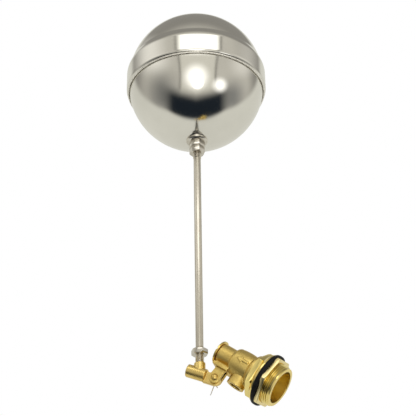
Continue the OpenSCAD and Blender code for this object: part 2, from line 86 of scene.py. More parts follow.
class Tree:
    """The nodes of one material or world, with a short way to add each kind used here."""

    def __init__(self, owner: bpy.types.Material | bpy.types.World) -> None:
        """Opens the owner's nodes."""
        owner.use_nodes = True
        self.nodes, self.links = owner.node_tree.nodes, owner.node_tree.links

    def add(self, kind: str, inputs: dict[str | int, object], **settings: object) -> bpy.types.Node:
        """Adds a node.

        Args:
            kind: Its type, without the words that every type starts with.
            inputs: What feeds each input: a value, or another node's output.
            settings: Its settings by name.

        Returns:
            The node.
        """
        node = self.nodes.new("ShaderNode" + kind)
        for key, value in settings.items():
            setattr(node, key, value)
        for key, source in inputs.items():
            if isinstance(source, bpy.types.NodeSocket):
                self.links.new(source, node.inputs[key])
            else:
                node.inputs[key].default_value = source
        return node

    def place(self) -> Socket:
        """The place on the piece, in the object's own frame."""
        return self.add("TexCoord", {}).outputs["Object"]

    def noise(self, source: Socket, scale: float, detail: float = 2.0) -> Socket:
        """A noise factor, with its scale in cycles per metre."""
        return self.add("TexNoise", {"Vector": source, "Scale": scale, "Detail": detail}).outputs["Fac"]

    def number(self, kind: str, *terms: object) -> Socket:
        """The result of a sum on numbers or outputs."""
        return self.add("Math", dict(enumerate(terms)), operation=kind).outputs[0]

    def vector(self, kind: str, *terms: object) -> Socket:
        """The result of a sum on vectors or outputs."""
        out = "Value" if kind in ("DOT_PRODUCT", "LENGTH") else "Vector"
        return self.add("VectorMath", dict(enumerate(terms)), operation=kind).outputs[out]

    def product(self, *factors: Socket) -> Socket:
        """Multiplies factors together.

        Args:
            factors: The factors.

        Returns:
            Their product.
        """
        result = factors[0]
        for factor in factors[1:]:
            result = self.number("MULTIPLY", result, factor)
        return result

    def ramp(self, source: Socket, span: Span, out: Span = (0.0, 1.0), soft: bool = False) -> Socket:
        """Maps a factor over a span to the values at its two ends, eased in and out where it is soft."""
        inputs = {"Value": source, "From Min": span[0], "From Max": span[1], "To Min": out[0], "To Max": out[1]}
        return self.add("MapRange", inputs, interpolation_type="SMOOTHSTEP" if soft else "LINEAR").outputs["Result"]

    def mix(self, under: Socket | Triple, over: Triple, where: Socket) -> Socket:
        """Lays a colour over another, as far as a factor says."""
        base = (*under, 1.0) if isinstance(under, tuple) else under
        return self.add("Mix", {"A": base, "B": (*over, 1.0), "Factor": where}, data_type="RGBA").outputs["Result"]


@dataclass(frozen=True)
class Thread:
    """Painted light in a turned spigot's bore and painted shade in the valleys of its thread, about the X axis."""

    bore_r: float = 19.1 * MM
    bore_edge: float = 0.5 * MM
    # Painted light: a pale colour laid over the inside of the bore.
    bore_painted_light: Triple = (0.92, 0.76, 0.30)
    bore_matt: float = 0.14
    # Painted shade: a dark colour laid in the thread's valleys, and how strongly it is laid.
    valley_painted_shade: Triple = (0.20, 0.13, 0.03)
    valley_shade_strength: float = 0.75
    root: Span = (22.2 * MM, 22.5 * MM)
    flank: Span = (22.7 * MM, 23.3 * MM)
    start: Span = (0.2 * MM, 0.6 * MM)
    stop: Span = (17.2 * MM, 17.8 * MM)


@dataclass(frozen=True)
class Finish:
    """A procedural surface: two colours mixed by noise, a roughness spread and a fine relief.

    The sizes scale and patch are in cycles per metre, for the fine and the broad noise.
    """

    name: str
    base: Triple
    worn: Triple
    roughness: float
    spread: float = 0.08
    metallic: float = 1.0
    scale: float = 900.0
    relief: float = 0.1
    height: float = 0.1 * MM
    stretch: Triple = (1.0, 1.0, 1.0)
    turn: Triple = (0.0, 0.0, 0.0)
    patch: float = 90.0
    edge: float = 0.0
    fleck: float = 0.3
    thread: Thread | None = None
    patch_span: Span = (0.35, 0.68)
    patch_wear: float = 0.7
    fleck_span: Span = (0.3, 0.75)
    edge_span: Span = (0.52, 0.62)
    rough_span: Span = (0.3, 0.7)
    dull_specular: float = 0.1

    def _threaded(self, tree: Tree, place: Socket, colour: Socket, rough: Socket) -> tuple[Socket, Socket]:
        """Paints light into the bore and paints shade into the valleys of the thread round it.

        Args:
            tree: The material's nodes.
            place: The place on the piece.
            colour: The colour so far.
            rough: The roughness so far.

        Returns:
            The new colour and roughness.
        """
        marks = self.thread
        reach = tree.vector("LENGTH", tree.vector("MULTIPLY", place, (0.0, 1.0, 1.0)))
        along = tree.vector("LENGTH", tree.vector("MULTIPLY", place, (1.0, 0.0, 0.0)))
        inside = tree.ramp(reach, (marks.bore_r, marks.bore_r + marks.bore_edge), (1.0, 0.0))
        valley = tree.product(tree.ramp(reach, marks.root), tree.ramp(reach, marks.flank, (marks.valley_shade_strength, 0.0)),
                              tree.ramp(along, marks.start), tree.ramp(along, marks.stop, (1.0, 0.0)))
        # Painted light in the bore, then painted shade in the thread's valleys.
        colour = tree.mix(tree.mix(colour, marks.bore_painted_light, inside), marks.valley_painted_shade, valley)
        return colour, tree.number("MULTIPLY_ADD", inside, marks.bore_matt, rough)

    def make(self) -> bpy.types.Material:
        """Builds the material, or returns the one already built.

        Returns:
            The material.
        """
        done = bpy.data.materials.get(self.name)
        if done:
            return done
        material = bpy.data.materials.new(self.name)
        tree = Tree(material)
        shader = tree.nodes["Principled BSDF"]
        shader.inputs["Metallic"].default_value = self.metallic
        if not self.metallic:
            shader.inputs["Specular IOR Level"].default_value = self.dull_specular
        place = tree.place()
        mapped = tree.add("Mapping", {"Vector": place, "Rotation": self.turn, "Scale": self.stretch})
        fine = tree.noise(mapped.outputs["Vector"], self.scale, 4.0)
        broad = tree.noise(place, self.patch, 3.0)
        wear = tree.number("ADD", tree.ramp(broad, self.patch_span, (0.0, self.patch_wear)),
                           tree.ramp(fine, self.fleck_span, (0.0, self.fleck)))
        colour = tree.mix(self.base, self.worn, wear)
        if self.edge:
            bright = tuple(min(1.0, c * 1.35 + 0.05) for c in self.base)
            point = tree.add("NewGeometry", {}).outputs["Pointiness"]
            colour = tree.mix(colour, bright, tree.ramp(point, self.edge_span, (0.0, self.edge)))
        rough = tree.ramp(broad, self.rough_span, (self.roughness, self.roughness + self.spread))
        # Painted light in the bore and painted shade in the thread's valleys, where the finish has a thread.
        if self.thread:
            colour, rough = self._threaded(tree, place, colour, rough)
        tree.links.new(colour, shader.inputs["Base Color"])
        tree.links.new(rough, shader.inputs["Roughness"])
        if self.relief:
            bump = tree.add("Bump", {"Height": fine, "Strength": self.relief, "Distance": self.height})
            tree.links.new(bump.outputs["Normal"], shader.inputs["Normal"])
        return material


CAST_BRASS = Finish("cast_brass_blasted", (0.85, 0.64, 0.21), (0.58, 0.41, 0.115), 0.36, 0.12, scale=620.0,
                    relief=0.34, height=0.2 * MM, patch=70.0, edge=0.45)
TURNED_BRASS = Finish("turned_brass_bright", (0.88, 0.68, 0.25), (0.74, 0.54, 0.16), 0.16, scale=260.0,
                      relief=0.0, stretch=(7.0, 0.4, 0.4), patch=55.0, edge=0.25, fleck=0.1)
PIN_BRASS = Finish("turned_brass_satin", (0.80, 0.58, 0.19), (0.64, 0.44, 0.12), 0.34, scale=260.0,
                   relief=0.0, patch=55.0, fleck=0.1)
# A paler copy of the turned brass for the spigot: its paleness is painted light against the shade inside the bore and
# between the threads.
BORED_BRASS = Finish("turned_brass_bored", (0.96, 0.77, 0.29), (0.84, 0.64, 0.20), 0.13, 0.06, scale=260.0,
                     relief=0.0, stretch=(7.0, 0.4, 0.4), patch=55.0, edge=0.15, fleck=0.1, thread=Thread())
FORGED_BRASS = Finish("forged_brass_satin", (0.88, 0.66, 0.24), (0.70, 0.49, 0.14), 0.25, 0.12, scale=700.0,
                      patch=60.0, edge=0.35, fleck=0.12)
PALE_BRASS = Finish("pale_brass_turned", (0.97, 0.84, 0.46), (0.86, 0.69, 0.31), 0.2, 0.1, scale=260.0,
                    relief=0.05, height=0.04 * MM, stretch=(6.0, 0.5, 0.5), patch=45.0, edge=0.2)
BLACK_RUBBER = Finish("black_rubber_moulded", (0.005, 0.005, 0.005), (0.012, 0.0115, 0.011), 0.45, 0.16,
                      metallic=0.0, scale=1600.0, relief=0.2, height=0.08 * MM, patch=120.0)
RED_FIBRE = Finish("red_fibre_sheet", (0.16, 0.06, 0.03), (0.07, 0.03, 0.02), 0.7, 0.15, metallic=0.0,
                   scale=3000.0, relief=0.4, height=0.08 * MM, patch=300.0)
DRAWN_STEEL = Finish("drawn_steel_bar", (0.70, 0.66, 0.58), (0.60, 0.55, 0.47), 0.2, scale=300.0, relief=0.0,
                     stretch=(2.2, 2.2, 0.03), turn=(0.0, -ARM_TILT, 0.0), patch=30.0, fleck=0.15)
NUT_STEEL = Finish("turned_steel_nut", (0.70, 0.67, 0.61), (0.50, 0.46, 0.40), 0.1, 0.05, scale=300.0,
                   relief=0.0, edge=0.6, fleck=0.1)
MIRROR_STEEL = Finish("mirror_steel_ball", (0.80, 0.785, 0.74), (0.73, 0.715, 0.67), 0.09, 0.07, scale=60.0,
                      relief=0.012, height=0.4 * MM, patch=14.0)
# The weld's colour, lighter than the ball's steel, is painted light that lifts the dark line of shade along the seam.
WELD_STEEL = Finish("dressed_weld", (0.90, 0.88, 0.82), (0.74, 0.71, 0.65), 0.4, 0.15, metallic=0.75,
                    scale=500.0, relief=0.3, height=0.16 * MM, patch=150.0)
WIRE_STEEL = Finish("bright_wire", (0.78, 0.77, 0.74), (0.62, 0.60, 0.56), 0.2, 0.1, scale=700.0, relief=0.05,
                    height=0.04 * MM, patch=200.0)


def bare() -> None:
    """Leaves edit mode and deselects everything."""
    if bpy.context.object and bpy.context.object.mode != "OBJECT":
        bpy.ops.object.mode_set(mode="OBJECT")
    bpy.ops.object.select_all(action="DESELECT")


def hold(obj: bpy.types.Object) -> None:
    """Makes one object the only one selected, and active.

    Args:
        obj: The object.
    """
    bare()
    obj.select_set(True)
    bpy.context.view_layer.objects.active = obj


def settle() -> None:
    """Puts the active object's place, turn and scale into its mesh."""
    bpy.ops.object.transform_apply(location=True, rotation=True, scale=True)


def edit_all() -> None:
    """Opens the active mesh in edit mode, with all of it selected."""
    bpy.ops.object.mode_set(mode="EDIT")
    bpy.ops.mesh.select_all(action="SELECT")


def put(obj: bpy.types.Object, place: Matrix) -> None:
    """Moves an object's mesh to a place and leaves the object itself at the origin.

    Args:
        obj: The object.
        place: The place.
    """
    hold(obj)
    obj.matrix_world = place @ obj.matrix_world
    settle()


def finish_modifier(obj: bpy.types.Object, kind: str, **settings: object) -> None:
    """Adds a modifier and applies it.

    Args:
        obj: The object.
        kind: The modifier's type.
        settings: Its settings by name.
    """
    hold(obj)
    modifier = obj.modifiers.new(kind.lower(), kind)
    for key, value in settings.items():
        setattr(modifier, key, value)
    bpy.ops.object.modifier_apply(modifier=modifier.name)


def carve(obj: bpy.types.Object, form: bpy.types.Object, cut: Cut) -> None:
    """Cuts an object with a form, and throws the form away.

    Args:
        obj: The object.
        form: The cutting form.
        cut: Whether what is inside the form is kept or removed.
    """
    finish_modifier(obj, "BOOLEAN", operation=cut.value, solver="EXACT", object=form)
    bpy.data.objects.remove(form)


def tidy_mesh(obj: bpy.types.Object) -> None:
    """Merges doubles, drops loose edges and points the faces outwards.

    Args:
        obj: The object.
    """
    hold(obj)
    edit_all()
    bpy.ops.mesh.remove_doubles(threshold=MERGE_GAP)
    bpy.ops.mesh.delete_loose()
    bpy.ops.mesh.select_all(action="SELECT")
    bpy.ops.mesh.normals_make_consistent(inside=False)
    bpy.ops.object.mode_set(mode="OBJECT")


def smooth(obj: bpy.types.Object, angle: float) -> None:
    """Shades an object smooth except over edges sharper than an angle in degrees."""
    hold(obj)
    bpy.ops.object.shade_smooth_by_angle(angle=math.radians(angle))


def eased(outline: Outline, cut: float, closed: bool = True) -> Outline:
    """Rounds the sharp corners of an outline with short arcs of four points.

    Args:
        outline: The corner points.
        cut: How far from each corner the rounding starts.
        closed: Whether the last point joins the first.

    Returns:
        The outline with its corners rounded.
    """
    points = [Vector(p) for p in outline]
    flat = math.radians(22)
    result: Outline = []
    for i, here in enumerate(points):
        ends = (i == 0 or i == len(points) - 1) and not closed
        before, after = points[i - 1] - here, points[(i + 1) % len(points)] - here
        short = min(before.length, after.length) < 3 * cut
        if ends or short or here.x < 1e-7 or math.pi - before.angle(after, 0.0) < flat:
            result.append(tuple(here))
            continue
        a, b = here + before.normalized() * cut, here + after.normalized() * cut
        for t in (0.0, 0.3, 0.7, 1.0):
            mid = (1 - t) ** 2 * a + 2 * t * (1 - t) * here + t * t * b
            result.append((mid.x, mid.y))
    return result


def turned(name: str, outline: Outline, place: Matrix, steps: int) -> bpy.types.Object:
    """Turns a closed outline of (radius, height) points into a round solid.

    Args:
        name: The piece's name.
        outline: The outline, in metres, about the local Z axis.
        place: Where the local frame lies.
        steps: The number of faces round it.

    Returns:
        The solid.
    """
    bare()
    bpy.ops.mesh.primitive_circle_add(vertices=len(outline), radius=0.01, fill_type="NOTHING")
    obj = bpy.context.object
    obj.name = name
    for vertex, (r, z) in zip(obj.data.vertices, outline):
        vertex.co = (r, 0.0, z)
    edit_all()
    bpy.ops.mesh.spin(steps=steps, angle=TURN, center=(0, 0, 0), axis=(0, 0, 1))
    bpy.ops.object.mode_set(mode="OBJECT")
    tidy_mesh(obj)
    put(obj, place)
    return obj


def thread_ridge(name: str, root: float, crest: float, pitch: float, start: float, turns: int,
                 place: Matrix) -> bpy.types.Object:
    """Winds a helical thread ridge with a closed section.

    Args:
        name: The piece's name.
        root: The root radius, a little inside the core.
        crest: The crest radius.
        pitch: The rise of one turn.
        start: The height of the first turn's crest.
        turns: The number of turns.
        place: Where the local frame lies.

    Returns:
        The ridge.
    """
    bare()
    bpy.ops.mesh.primitive_circle_add(vertices=6, radius=0.01, fill_type="NOTHING")
    obj = bpy.context.object
    obj.name = name
    tip = crest - root
    section = [(root, -0.47), (crest - 0.12 * tip, -0.13), (crest, -0.06),
               (crest, 0.06), (crest - 0.12 * tip, 0.13), (root, 0.47)]
    for vertex, (r, z) in zip(obj.data.vertices, section):
        vertex.co = (r, 0.0, start + z * pitch)
    finish_modifier(obj, "SCREW", angle=TURN, screw_offset=pitch, iterations=turns, steps=48,
                    render_steps=48, axis="Z", use_merge_vertices=False)
    hold(obj)
    edit_all()
    bpy.ops.mesh.remove_doubles(threshold=1e-7)
    bpy.ops.mesh.fill_holes(sides=8)
    bpy.ops.mesh.select_all(action="SELECT")
    bpy.ops.mesh.normals_make_consistent(inside=False)
    bpy.ops.object.mode_set(mode="OBJECT")
    put(obj, place)
    return obj


def hex_blank(name: str, flats: float, height: float, chamfer: float, bore: float, place: Matrix,
              round_over: float) -> bpy.types.Object:
    """Cuts a hexagon from bar: both faces chamfered by a cone, bored through and eased.

    Args:
        name: The piece's name.
        flats: The width across flats.
        height: The height, from local z = 0.
        chamfer: The height of the chamfer at the corners.
        bore: The radius of the bore.
        place: Where the local frame lies.
        round_over: The rounding of its edges.

    Returns:
        The blank.
    """
    reach = flats / 2 / math.cos(math.radians(30))
    bare()
    bpy.ops.mesh.primitive_cylinder_add(vertices=6, radius=reach, depth=height, location=(0, 0, height / 2),
                                        rotation=(0, 0, math.radians(30)))
    obj = bpy.context.object
    obj.name = name
    settle()
    over, past, run = 0.5 * MM, 1 * MM, 1.8
    wide, slope = reach + run * over, reach - run * (chamfer + over)
    cone = [(0.0, -over), (slope, -over), (wide, chamfer + over), (wide, height - chamfer - over),
            (slope, height + over), (0.0, height + over)]
    drill = [(0.0, -past), (bore, -past), (bore, height + past), (0.0, height + past)]
    carve(obj, turned("chamfer_form", cone, Matrix.Identity(4), 144), Cut.KEEP)
    carve(obj, turned("drill_form", drill, Matrix.Identity(4), 144), Cut.REMOVE)
    finish_modifier(obj, "BEVEL", width=round_over, segments=2, limit_method="ANGLE",
                    angle_limit=math.radians(28))
    put(obj, place)
    return obj


def joined(name: str, parts: list[bpy.types.Object]) -> bpy.types.Object:
    """Joins meshes into one piece.

    Args:
        name: The piece's name.
        parts: The meshes, the first of which takes the others in.

    Returns:
        The piece.
    """
    bare()
    for part in parts:
        part.select_set(True)
    bpy.context.view_layer.objects.active = parts[0]
    bpy.ops.object.join()
    parts[0].name = name
    return parts[0]


def softened_cast(node: bpy.types.Object, name: str, voxel: float, rounds: int) -> bpy.types.Object:
    """Makes a cast form of a CAD node, with its corners and its inner angles rounded.

    Args:
        node: The CAD node.
        name: The new piece's name.
        voxel: The grid that the form is rebuilt on.
        rounds: How many times it is smoothed.

    Returns:
        The form.
    """
    bare()
    mesh = node.data.copy()
    obj = bpy.data.objects.new(name, mesh)
    bpy.context.scene.collection.objects.link(obj)
    mesh.materials.clear()
    form = bmesh.new()
    form.from_mesh(mesh)
    bmesh.ops.remove_doubles(form, verts=form.verts, dist=2 * MERGE_GAP)
    bmesh.ops.recalc_face_normals(form, faces=form.faces)
    form.to_mesh(mesh)
    form.free()
    finish_modifier(obj, "REMESH", mode="VOXEL", voxel_size=voxel, adaptivity=0.0, use_smooth_shade=True)
    finish_modifier(obj, "SMOOTH", factor=0.5, iterations=rounds)
    hold(obj)
    bpy.ops.object.shade_smooth()
    return obj


def dress(obj: bpy.types.Object, finish: Finish, body: str, slot: str, *nodes: str) -> None:
    """Gives a new piece its finish and its body, and hides the nodes that it stands for.

    Args:
        obj: The piece.
        finish: Its finish.
        body: The body that it rides on.
        slot: The record's material slot; not used.
        nodes: The CAD nodes that it replaces.
    """
    obj.data.materials.clear()
    obj.data.materials.append(finish.make())
    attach(obj, body)
    if nodes:
        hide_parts(*nodes)
    LOG.info("piece %s: %d faces on %s", obj.name, len(obj.data.polygons), body)


def dress_node(node: bpy.types.Object, finish: Finish) -> None:
    """Gives a CAD node its finish on the object, and leaves its mesh alone.

    Args:
        node: The CAD node.
        finish: Its finish.
    """
    if not node.material_slots:
        node.data.materials.append(None)
    for slot in node.material_slots:
        slot.link = "OBJECT"
        slot.material = finish.make()
    LOG.info("node %s keeps its shape, in %s", node.name, finish.name)


INLET = Matrix(((0, 0, 1, 0), (1, 0, 0, 0), (0, 1, 0, 0), (0, 0, 0, 1)))


def inlet_frame(x: float, turn: float = 0.0) -> Matrix:
    """The frame of a piece turned about the inlet axis, with its local Z along +X from a place.

    Args:
        x: The place of local z = 0.
        turn: Its turn about the axis in degrees.

    Returns:
        The frame.
    """
    return Matrix.Translation((x, 0, 0)) @ INLET @ Matrix.Rotation(math.radians(turn), 4, "Z")


@dataclass
class Inlet:
    """The threaded spigot with its washer and backnut."""

    thread_r: float = 23.9 * MM
    thread_len: float = 19.5 * MM
    pitch: float = 2.309 * MM
    thread_depth: float = 1.35 * MM
    bore_r: float = 19 * MM
    mark_depth: float = 0.055 * MM
    mark_gap: float = 0.5 * MM
    collar_r: float = 29 * MM
    collar_t: float = 2 * MM
    taper: float = 3 * MM
    shoulder: float = 4 * MM
    shoulder_end: float = -11 * MM
    hex_flats: float = 47 * MM
    hex_t: float = 7 * MM
    hex_at: float = -12 * MM
    hex_turn: float = -23.0
    stub_r: float = 14 * MM
    stub_end: float = -16.6 * MM
    seat_bore_r: float = 9.03 * MM
    washer_t: float = 5 * MM
    washer_r: float = 30.5 * MM
    washer_in: float = 24.1 * MM
    nut_t: float = 5 * MM
    nut_flats: float = 54.4 * MM
    nut_turn: float = 14.0

    def spigot(self) -> bpy.types.Object:
        """Turns the spigot and winds its thread.

        Returns:
            The spigot with its hexagon.
        """
        root, mouth, floor = self.thread_r - self.thread_depth, self.thread_len, -self.collar_t
        neck, shoulder = self.collar_r - self.taper, self.stub_r + self.shoulder
        outline = [
            (self.bore_r, mouth), (self.bore_r + 1.9 * MM, mouth), (root + 0.15 * MM, mouth - 0.1 * MM),
            (root, mouth - 1.2 * MM), (root, 0.0), (self.collar_r, 0.0), (self.collar_r, floor),
            (neck, floor - self.taper), (shoulder, floor - self.taper - 0.4 * MM), (shoulder, self.shoulder_end),
            (self.stub_r, self.shoulder_end - 0.2 * MM), (self.stub_r, self.stub_end),
            (self.seat_bore_r, self.stub_end), (self.seat_bore_r, floor), (self.bore_r, floor),
        ]
        count = round((mouth - floor) / self.mark_gap) - 2
        marks = [(self.bore_r + (self.mark_depth if i % 2 else -self.mark_depth), floor + self.mark_gap * (i + 1))
                 for i in range(count)]
        core = turned("spigot_core", eased(outline, 0.28 * MM) + marks, inlet_frame(0.0), 160)
        ridge = thread_ridge("spigot_thread", root - 0.12 * MM, self.thread_r, self.pitch, self.thread_depth, 7,
                             inlet_frame(0.0))
        hexagon = hex_blank("spigot_hexagon", self.hex_flats, self.hex_t, 1.1 * MM, self.stub_r + 1 * MM,
                            inlet_frame(self.hex_at, self.hex_turn), 0.35 * MM)
        spigot = joined("spigot_with_thread", [core, ridge, hexagon])
        smooth(spigot, 34)
        return spigot

    def washer(self) -> bpy.types.Object:
        """Moulds the thick rubber washer, with full round edges.

        Returns:
            The washer.
        """
        inner, t, edge = self.washer_in, self.washer_t, self.washer_r - 0.25 * MM
        outline = [(inner, 0.05 * MM), (edge, 0.02 * MM), (self.washer_r, t * 0.5), (edge, t - 0.02 * MM),
                   (inner, t - 0.05 * MM)]
        washer = turned("washer_moulded", eased(outline, 0.7 * MM), inlet_frame(0.0), 144)
        smooth(washer, 60)
        return washer

    def backnut(self) -> bpy.types.Object:
        """Cuts the hexagon backnut.

        Returns:
            The backnut.
        """
        nut = hex_blank("backnut_hexagon", self.nut_flats, self.nut_t - 0.02 * MM, 1.0 * MM,
                        self.thread_r + 0.06 * MM, inlet_frame(self.washer_t + 0.01 * MM, self.nut_turn), 0.3 * MM)
        smooth(nut, 30)
        return nut

    def build(self, nodes: dict[str, bpy.types.Object]) -> None:
        """Models and dresses the inlet's pieces.

        Args:
            nodes: The CAD nodes by name.
        """
        dress(self.spigot(), BORED_BRASS, "valve", "machined_brass", "inlet_spigot")
        dress(self.washer(), BLACK_RUBBER, "sealing_washer", "black_rubber", "sealing_washer")
        dress(self.backnut(), PALE_BRASS, "backnut", "pale_brass", "backnut")
        dress_node(nodes["spigot_gasket"], RED_FIBRE)
        dress_node(nodes["seat_nozzle"], TURNED_BRASS)


@dataclass
class Body:
    """The cast body with its end cap, pivot pin and split pin."""

    voxel: float = 0.42 * MM
    rounds: int = 4
    cap_face: float = -62.0278 * MM
    cap_t: float = 2.4 * MM
    cap_r: float = 14.18 * MM
    skirt_out: float = 10.28 * MM
    skirt_in: float = 8.78 * MM
    grip: float = 4.2 * MM
    slot_w: float = 2.5 * MM
    slot_depth: float = 1.2 * MM
    pin_r: float = 2.5 * MM
    head_r: float = 4.1 * MM
    head_t: float = 2.2 * MM
    head_y: float = -6.3 * MM
    pin_end: float = 9.4 * MM
    split_y: float = 7.8 * MM
    wire_r: float = 0.5 * MM

    def casting(self, node: bpy.types.Object) -> bpy.types.Object:
        """Rounds the casting's corners and inner angles.

        Args:
            node: The CAD body.

        Returns:
            The casting.
        """
        return softened_cast(node, "body_casting", self.voxel, self.rounds)

    def end_cap(self) -> bpy.types.Object:
        """Turns the end cap and saws its slot.

        Returns:
            The cap.
        """
        face, outer, skirt_end = self.cap_face, self.cap_face - self.cap_t, self.cap_face + self.grip
        chamfer, inset = 0.6 * MM, 0.02 * MM
        outline = [(0.0, outer), (self.cap_r - chamfer, outer), (self.cap_r, outer + chamfer), (self.cap_r, face),
                   (self.skirt_out, face), (self.skirt_out, skirt_end), (self.skirt_in, skirt_end),
                   (self.skirt_in, face - inset), (0.0, face - inset)]
        cap = turned("end_cap_turned", eased(outline, 0.18 * MM), inlet_frame(0.0), 128)
        bare()
        bpy.ops.mesh.primitive_cube_add(size=1.0, location=(outer - 10 * MM, 0, 0))
        saw = bpy.context.object
        saw.scale = (20 * MM + 2 * self.slot_depth, 80 * MM, self.slot_w)
        settle()
        carve(cap, saw, Cut.REMOVE)
        smooth(cap, 30)
        return cap

    def pivot_pin(self) -> bpy.types.Object:
        """Turns the pivot pin with its domed head.

        Returns:
            The pin.
        """
        dome_r = (self.head_r ** 2 + self.head_t ** 2) / (2 * self.head_t)
        angles = [math.asin(self.head_r / dome_r) * i / 14 for i in range(15)]
        dome = [(dome_r * math.sin(a), self.head_y - self.head_t + dome_r * (1 - math.cos(a))) for a in angles]
        shank = eased([(self.head_r, self.head_y), (self.pin_r, self.head_y), (self.pin_r, self.pin_end),
                       (0.0, self.pin_end)], 0.35 * MM, closed=False)
        frame = Matrix.Translation(PIVOT) @ Matrix.Rotation(-math.pi / 2, 4, "X")
        pin = turned("pivot_pin_domed", dome + shank[1:], frame, 72)
        smooth(pin, 40)
        return pin

    def split_pin(self) -> bpy.types.Object:
        """Bends the split pin from wire: a leg, the eye, and the other leg.

        Returns:
            The split pin.
        """
        leg, eye, eye_z, bend = 0.5 * MM, 1.4 * MM, 4.7 * MM, -3.7 * MM
        long_leg, short_leg = (14 * MM, math.radians(14)), (5 * MM, math.radians(62))
        neck = eye_z - 1.25 * eye
        turns = [math.radians(a) for a in range(40, 330, 20)]
        route = [(-leg + long_leg[0] * math.sin(long_leg[1]), bend - long_leg[0] * math.cos(long_leg[1])),
                 (-leg + 0.3 * MM, bend - 1.6 * MM), (-leg, bend), (-leg, 0.0), (-leg, neck)]
        route += [(-eye * math.sin(a), eye_z - eye * math.cos(a)) for a in turns]
        route += [(leg, neck), (leg, 0.0), (leg, bend + 0.3 * MM), (leg + 0.5 * MM, bend - 0.5 * MM),
                  (leg + short_leg[0] * math.sin(short_leg[1]), bend - short_leg[0] * math.cos(short_leg[1]))]
        curve = bpy.data.curves.new("split_wire", "CURVE")
        curve.dimensions = "3D"
        spline = curve.splines.new("NURBS")
        spline.points.add(len(route) - 1)
        for point, (x, z) in zip(spline.points, route):
            point.co = (x, 0.0, z, 1.0)
        spline.order_u, spline.use_endpoint_u, spline.resolution_u = 3, True, 4
        curve.bevel_depth, curve.bevel_resolution, curve.use_fill_caps = self.wire_r, 3, True
        wire = bpy.data.objects.new("split_pin_wire", curve)
        bpy.context.scene.collection.objects.link(wire)
        hold(wire)
        bpy.ops.object.convert(target="MESH")
        wire = bpy.context.object
        put(wire, Matrix.Translation((PIVOT[0], self.split_y, PIVOT[2])))
        tidy_mesh(wire)
        smooth(wire, 50)
        return wire

    def build(self, nodes: dict[str, bpy.types.Object]) -> None:
        """Models and dresses the body's pieces.

        Args:
            nodes: The CAD nodes by name.
        """
        dress(self.casting(nodes["valve_body"]), CAST_BRASS, "valve", "cast_brass", "valve_body")
        dress(self.end_cap(), TURNED_BRASS, "valve", "machined_brass", "end_cap")
        dress(self.pivot_pin(), PIN_BRASS, "valve", "machined_brass", "pivot_pin")
        dress(self.split_pin(), WIRE_STEEL, "valve", "plated_wire", "split_pin")
        dress_node(nodes["cap_gasket"], RED_FIBRE)


@dataclass
class Piston:
    """The piston with its screwed cap and rubber disc, all as the CAD has them."""

    def build(self, nodes: dict[str, bpy.types.Object]) -> None:
        """Dresses the piston's nodes.

        Args:
            nodes: The CAD nodes by name.
        """
        dress_node(nodes["piston"], TURNED_BRASS)
        dress_node(nodes["piston_cap"], TURNED_BRASS)
        dress_node(nodes["seat_disc"], BLACK_RUBBER)


